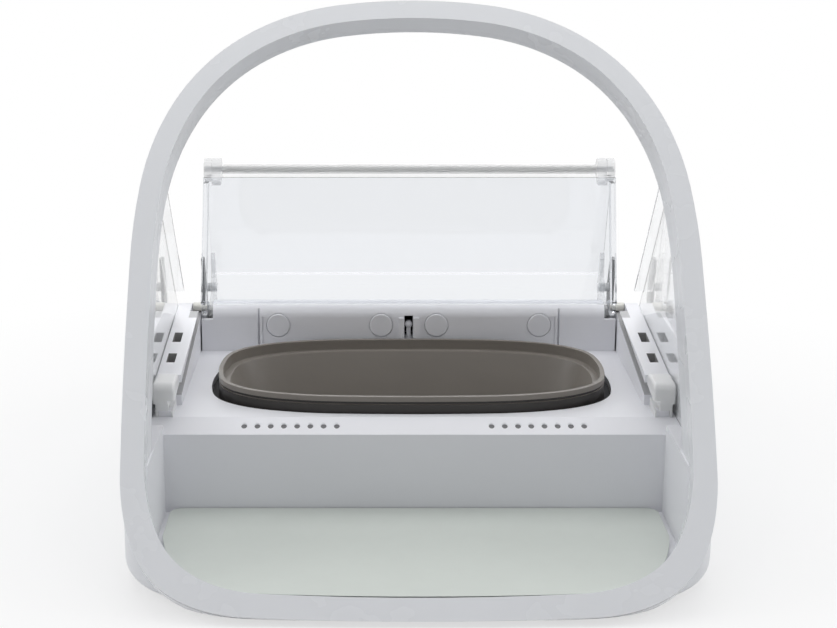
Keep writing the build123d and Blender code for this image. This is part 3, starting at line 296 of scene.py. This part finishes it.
def soft_rubber(name, colour, relief=0.35, dusty=0.05):
    """Rubber or silicone: soft grain with a little dust in it."""
    material, tree, shader = new_material(name)
    dust = noise(tree, scale=90, detail=5.0, roughness=0.65)
    tree.links.new(blend_colours(tree, dust, shade(colour, 1 - dusty), shade(colour, 1 + dusty)),
                   shader.inputs["Base Color"])
    tree.links.new(spread(tree, dust, (RUBBER_ROUGHNESS - 0.06, RUBBER_ROUGHNESS + 0.08)),
                   shader.inputs["Roughness"])
    shader.inputs["Specular IOR Level"].default_value = 0.3
    bump(tree, shader, noise(tree, scale=700, roughness=0.6), relief, 0.1 * MM)
    return material


def laminate(name, colour, track_colour):
    """Lacquered board: copper tracks show as paler bands under the lacquer."""
    material, tree, shader = new_material(name)
    bands = tree.nodes.new("ShaderNodeTexBrick")
    bands.inputs["Scale"].default_value = 420
    bands.inputs["Mortar Size"].default_value = 0.03
    bands.inputs["Color1"].default_value = (*colour, 1)
    bands.inputs["Color2"].default_value = (*shade(colour, 1.2), 1)
    bands.inputs["Mortar"].default_value = (*track_colour, 1)
    tree.links.new(own_place(tree), bands.inputs["Vector"])
    tree.links.new(bands.outputs["Color"], shader.inputs["Base Color"])
    shader.inputs["Roughness"].default_value = 0.28
    shader.inputs["Coat Weight"].default_value = 0.4
    bump(tree, shader, bands.outputs["Fac"], 0.2, 0.05 * MM)
    return material


# ---------------------------------------------------------------- materials
materials = {
    "white_shell": moulded("white_shell", (0.77, 0.782, 0.808), 0.38, grain=900, relief=0.05),
    "white_hoop": moulded("white_hoop", (0.80, 0.812, 0.838), 0.26, grain=420, relief=0.02),
    "white_inner": moulded("white_inner", (0.815, 0.818, 0.852), 0.42, grain=900, relief=0.05),
    "clear_plastic": clear_sheet("clear_plastic", (0.972, 0.977, 0.982)),
    "lid_tinted_clear": clear_sheet("lid_tinted_clear", (0.872, 0.887, 0.910)),
    "lid_plain_clear": clear_sheet("lid_plain_clear", (0.988, 0.990, 0.994)),
    "pin_pale": milky("pin_pale", (0.93, 0.93, 0.93)),
    "cap_plastic": milky("cap_plastic", (0.93, 0.94, 0.95), 0.82),
    "bowl_grey": moulded("bowl_grey", (0.212, 0.192, 0.170), 0.40, grain=1100, relief=0.1,
                         mottle=0.08),
    "mat_grey": soft_rubber("mat_grey", (0.61, 0.645, 0.61), dusty=0.015),
    "tube_grey": milky("tube_grey", (0.95, 0.945, 0.93), 0.42),
    "dark_lens": moulded("dark_lens", (0.03, 0.022, 0.028), 0.10, relief=0.02),
    "button_grey": moulded("button_grey", (0.30, 0.32, 0.35), 0.34, relief=0.2),
    "rubber_grey": soft_rubber("rubber_grey", (0.045, 0.045, 0.048)),
    "silicone": soft_rubber("silicone", (0.52, 0.52, 0.50), relief=0.15),
    "steel": metal("steel", (0.62, 0.62, 0.63), 0.26),
    "copper": metal("copper", (0.74, 0.33, 0.17), 0.34),
    "gear_white": moulded("gear_white", (0.80, 0.79, 0.74), 0.34, relief=0.05),
    "board_green": laminate("board_green", (0.02, 0.13, 0.05), (0.09, 0.30, 0.13)),
    "cell_jacket": moulded("cell_jacket", (0.09, 0.10, 0.12), 0.25, relief=0.03),
    "motor_black": moulded("motor_black", (0.02, 0.02, 0.022), 0.45, relief=0.3),
    "strip_grey": moulded("strip_grey", (0.17, 0.175, 0.18), 0.36),
    "liner_grey": moulded("liner_grey", (0.46, 0.46, 0.47), 0.45),
    # painted shade inside the strip's holes
    "hole_painted_shade": moulded("hole_painted_shade", (0.16, 0.16, 0.165), 0.6),
    # painted shade on the walls and floors of the rails' slots
    "slot_painted_shade": moulded("slot_painted_shade", (0.36, 0.355, 0.355), 0.6),
    # painted shade in the hoop's seam groove
    "seam_painted_shade": moulded("seam_painted_shade", (0.16, 0.16, 0.18), 0.6),
    # painted shade on the bowl's groove and skirt below the lip
    "bowl_painted_shade": moulded("bowl_painted_shade", (0.030, 0.027, 0.025), 0.5),
    "arm_clear": thin_clear("arm_clear", (0.86, 0.87, 0.88)),
}

# nodes that look different from the rest of their slot
OWN_MATERIALS = {
    "left_sector_arm": "arm_clear",
    "right_sector_arm": "arm_clear",
    "front_knuckles": "arm_clear",
    "rear_knuckles": "arm_clear",
    "lid_hinge_pin": "arm_clear",
    "rear_lid_panel": "lid_plain_clear",
    "front_lid_panel": "lid_tinted_clear",
}


def paint_frame():
    """Every CAD node gets the material of its slot, or its own."""
    for entry in frame["record"]["subparts"]:
        name = entry["node"]
        mesh = nodes[name].data
        mesh.materials.clear()
        mesh.materials.append(materials[OWN_MATERIALS.get(name, entry["material_slot"])])


# ---------------------------------------------------------------- mesh helpers
def soften(name, width):
    """Small rounded edges on a CAD node, as modifiers."""
    node = nodes[name]
    weld = node.modifiers.new("join", "WELD")
    weld.merge_threshold = SAME_POINT
    rounding = node.modifiers.new("edges", "BEVEL")
    rounding.width = width
    rounding.segments = 2
    rounding.limit_method = "ANGLE"
    rounding.angle_limit = EDGE_ANGLE
    even = node.modifiers.new("normals", "WEIGHTED_NORMAL")
    even.keep_sharp = True


def joined_copy(name):
    """Editable copy of a CAD node's mesh, with the corners of its faces joined."""
    work = bmesh.new()
    work.from_mesh(nodes[name].data)
    bmesh.ops.remove_doubles(work, verts=work.verts, dist=SAME_POINT)
    return work


def islands(name):
    """Box of each separate solid of a CAD node, as (low, high)."""
    work = joined_copy(name)
    seen = set()
    boxes = []
    for first in work.verts:
        if first in seen:
            continue
        seen.add(first)
        found = [first]
        for vertex in found:
            for edge in vertex.link_edges:
                other = edge.other_vert(vertex)
                if other not in seen:
                    seen.add(other)
                    found.append(other)
        boxes.append(tuple(Vector([limit(vertex.co[axis] for vertex in found)
                                   for axis in range(3)]) for limit in (min, max)))
    work.free()
    return boxes


def turned(profile, foot, axis, steps):
    """Profile of (radius, height), lowest first, turned about an axis at right angles to X."""
    along = Vector((1, 0, 0))
    across = axis.cross(along)
    vertices = []
    for radius, height in profile:
        for step in range(steps):
            angle = 2 * math.pi * step / steps
            spoke = along * math.cos(angle) + across * math.sin(angle)
            vertices.append(foot + axis * height + spoke * radius)
    faces = []
    for ring in range(len(profile) - 1):
        here, above = ring * steps, (ring + 1) * steps
        for step in range(steps):
            after = (step + 1) % steps
            faces.append((here + step, here + after, above + after, above + step))
    faces.append(tuple(reversed(range(steps))))
    faces.append(tuple(range((len(profile) - 1) * steps, len(profile) * steps)))
    return vertices, faces


def place_piece(name, mesh, slot, body, material=None):
    """Object from a mesh, which rides a body and has its slot's material or another one."""
    piece = bpy.data.objects.new(name, mesh)
    bpy.context.scene.collection.objects.link(piece)
    mesh.materials.append(materials[material or slot])
    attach(piece, body)
    return piece


def add_piece(name, shapes, slot, body, material=None, smooth=True):
    """One object from several (vertices, faces) shapes."""
    vertices, faces = [], []
    for shape_vertices, shape_faces in shapes:
        start = len(vertices)
        vertices += shape_vertices
        faces += [tuple(start + index for index in face) for face in shape_faces]
    mesh = bpy.data.meshes.new(name)
    mesh.from_pydata(vertices, [], faces)
    mesh.update()
    piece = place_piece(name, mesh, slot, body, material)
    if smooth:
        mesh.shade_smooth()
        edges = piece.modifiers.new("sharp", "EDGE_SPLIT")
        edges.split_angle = SMOOTH_ANGLE
    return piece


def skin(name, node, wanted, slot, body, material=None, lift=LINING_LIFT):
    """Thin lining over those faces of a CAD node whose centre and normal pass a test."""
    work = joined_copy(node)
    spare = [face for face in work.faces if not wanted(face.calc_center_median(), face.normal)]
    bmesh.ops.delete(work, geom=spare, context="FACES")
    work.normal_update()
    for vertex in work.verts:
        vertex.co += vertex.normal * lift
    mesh = bpy.data.meshes.new(name)
    work.to_mesh(mesh)
    work.free()
    place_piece(name, mesh, slot, body, material)


def within(value, limits):
    return limits[0] < value < limits[1]


# ---------------------------------------------------------------- painted shade and coloured linings
def make_hole_shade_cups():
    """Painted shade: dark cups a little below the surface of the strip's sixteen holes, standing
    for the shade inside them.
    """
    profile = [(HOLE_RADIUS * share, height * MM) for share, height in SHADE_CUP_PROFILE]
    shapes = []
    for side in (-1, 1):
        for place in range(HOLES_PER_SIDE):
            across = Vector((side * (FIRST_HOLE + HOLE_PITCH * place), 0, 0))
            shapes.append(turned(profile, STRIP_MIDDLE + across, STRIP_NORMAL, SHADE_CUP_STEPS))
    add_piece("hole_shade_cups", shapes, "rubber_grey", "housing", "hole_painted_shade")


def make_slot_shade():
    """Painted shade: dark grey linings on the walls and floors of the two slots of each rail."""
    def in_slot(centre, normal):
        on_floor = centre.z < SLOT_FLOOR_TOP
        on_wall = abs(normal.z) < 0.5
        return (within(abs(centre.x), SLOT_SIDES) and centre.z > SLOT_BOTTOM
                and any(within(centre.y, reach) for reach in SLOT_REACHES)
                and (on_floor or on_wall))

    for side in ("left", "right"):
        skin(side + "_slot_shade", side + "_rail", in_slot, "white_inner", "housing", "slot_painted_shade")


def make_hoop_groove_shade():
    """Painted shade: a dark line in the seam groove that runs round the hoop near its front."""
    def in_groove(centre, normal):
        depth = ((centre.y - HOOP_FRONT_Y) * math.cos(HOOP_LEAN)
                 - (centre.z - HOOP_FRONT_Z) * math.sin(HOOP_LEAN))
        backward = normal.y * math.cos(HOOP_LEAN) - normal.z * math.sin(HOOP_LEAN)
        return within(depth, SEAM_DEPTHS) and abs(backward) < 0.3

    skin("hoop_groove_shade", "hoop_front", in_groove, "white_hoop", "housing", "seam_painted_shade", SEAM_LIFT)


def make_bowl_shade_band():
    """Painted shade: a dark band round the bowl below its lip, where the groove and skirt lie in
    shadow.
    """
    def below_lip(centre, normal):
        outward = normal.x * centre.x + normal.y * (centre.y - BOWL_MIDDLE_Y) > 0
        return outward and within(centre.z, BOWL_SHADE_HEIGHTS) and abs(normal.z) < 0.7

    skin("bowl_shade_band", "bowl", below_lip, "bowl_grey", "bowl", "bowl_painted_shade")


def make_stud_sleeves():
    """Pale sleeves on the studs that the lid's arms turn on."""
    for side in ("left", "right"):
        skin(side + "_stud_sleeve", side + "_hinge_bracket",
             lambda centre, normal: abs(centre.x) < STUD_REACH,
             "strip_grey", "housing", "pin_pale")


def make_cell_ends():
    """Bare steel ends and buttons of the cells."""
    skin("cell_ends", "battery_cells", lambda centre, normal: abs(normal.x) > 0.9,
         "steel", "housing")


def make_board_packages():
    """Black chip, socket and relay on the green board."""
    board_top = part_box("control_board")[1][2] - PACKAGE_HEIGHT
    skin("board_packages", "control_board",
         lambda centre, normal: centre.z > board_top + PACKAGE_START, "motor_black", "housing")


# ---------------------------------------------------------------- underside
def make_feet():
    """Round rubber feet: a flat pad, a groove round it and a flat rim with a rounded edge."""
    shapes = []
    for low, high in islands("rubber_feet"):
        centre, radius = (low + high) / 2, (high.x - low.x) / 2
        profile = [(radius * share, low.z + lift * MM) for share, lift in FOOT_PROFILE]
        profile.append((radius, high.z))
        foot = Vector((centre.x, centre.y, 0))
        shapes.append(turned(profile, foot, Vector((0, 0, 1)), FOOT_STEPS))
    feet = add_piece("moulded_feet", shapes, "rubber_grey", "housing")
    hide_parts("rubber_feet")


def cross_mark(centre, z):
    """Thin cross in place of a screw's recess: four arms, drawn in at the lower face."""
    outline = []
    for turn in range(4):
        angle = math.pi / 2 * turn
        for along, across in ((CROSS_HALF_WIDTH, -CROSS_HALF_WIDTH),
                              (CROSS_REACH, -CROSS_HALF_WIDTH), (CROSS_REACH, CROSS_HALF_WIDTH)):
            outline.append((along * math.cos(angle) - across * math.sin(angle),
                            along * math.sin(angle) + across * math.cos(angle)))
    count = len(outline)
    vertices = [(centre.x + share * x, centre.y + share * y, height)
                for share, height in ((1, z), (CROSS_TAPER, z - CROSS_THICKNESS))
                for x, y in outline]
    faces = [(step, (step + 1) % count, (step + 1) % count + count, step + count)
             for step in range(count)]
    faces.append(tuple(range(count)))
    faces.append(tuple(reversed(range(count, 2 * count))))
    return vertices, faces


def make_screw_recess_shades():
    """Painted shade: dark crosses on the heads of the case screws, seen from below, standing for
    the shade in their recesses.
    """
    shapes = [cross_mark((low + high) / 2, low.z + CROSS_START)
              for low, high in islands("case_screws")]
    add_piece("screw_recess_shades", shapes, "dark_lens", "housing", smooth=False)


# ---------------------------------------------------------------- studio
def make_camera():
    data = bpy.data.cameras.new("photo_camera")
    data.lens = CAMERA_LENS
    data.sensor_width = CAMERA_SENSOR
    data.shift_x = CAMERA_SHIFT
    data.clip_start, data.clip_end = CAMERA_CLIP
    camera = bpy.data.objects.new("photo_camera", data)
    camera.location = CAMERA_PLACE
    camera.rotation_euler = (math.radians(90 - CAMERA_PITCH), 0, 0)
    bpy.context.scene.collection.objects.link(camera)
    bpy.context.scene.camera = camera


def make_lights():
    """Four soft panel lights, turned to the feeder."""
    for name, place, size, watts in PANEL_LIGHTS:
        data = bpy.data.lights.new(name, "AREA")
        data.shape = "RECTANGLE"
        data.size, data.size_y = size
        data.energy = watts
        lamp = bpy.data.objects.new(name, data)
        lamp.location = place
        lamp.rotation_mode = "QUATERNION"
        aim = Vector(LIGHT_TARGET) - Vector(place)
        lamp.rotation_quaternion = aim.to_track_quat("-Z", "Y")
        bpy.context.scene.collection.objects.link(lamp)


def make_world():
    """Even light from all round; white to the camera, to mirrors and through clear pieces."""
    world = bpy.data.worlds.new("studio")
    world.use_nodes = True
    bpy.context.scene.world = world
    tree = world.node_tree
    lit = tree.nodes["Background"]
    lit.inputs["Color"].default_value = WORLD_TINT
    lit.inputs["Strength"].default_value = WORLD_LIGHT
    seen = tree.nodes.new("ShaderNodeBackground")
    seen.inputs["Color"].default_value = PURE_WHITE
    show_mix(tree, "World Output", direct_ray(tree),
             lit.outputs["Background"], seen.outputs["Background"])


def make_floor():
    """Pale floor that keeps the shadow near the feeder and turns plain white further out."""
    bpy.ops.mesh.primitive_plane_add(size=2 * FLOOR_REACH, location=(0, 0, -FLOOR_DROP))
    floor = bpy.context.object
    floor.name = "studio_floor"
    material, tree, shader = new_material("studio_floor")
    shader.inputs["Base Color"].default_value = FLOOR_COLOUR
    shader.inputs["Roughness"].default_value = 0.9
    shader.inputs["Specular IOR Level"].default_value = 0.1
    glow = tree.nodes.new("ShaderNodeEmission")
    glow.inputs["Color"].default_value = PURE_WHITE
    glow.inputs["Strength"].default_value = 1.0
    length = tree.nodes.new("ShaderNodeVectorMath")
    length.operation = "LENGTH"
    tree.links.new(own_place(tree), length.inputs[0])
    fade = spread(tree, length.outputs["Value"], FLOOR_WHITE, FLOOR_FADE)
    share = combine(tree, "MULTIPLY", fade, direct_ray(tree))
    show_mix(tree, "Material Output", share, shader.outputs["BSDF"], glow.outputs["Emission"])
    floor.data.materials.append(material)


paint_frame()
for edge_width, edge_nodes in EDGE_WIDTHS:
    for edge_node in edge_nodes:
        soften(edge_node, edge_width)
make_hole_shade_cups()
make_slot_shade()
make_hoop_groove_shade()
make_bowl_shade_band()
make_stud_sleeves()
make_cell_ends()
make_board_packages()
make_feet()
make_screw_recess_shades()
make_camera()
make_world()
make_lights()
make_floor()

bpy.context.scene.view_settings.view_transform = "Standard"
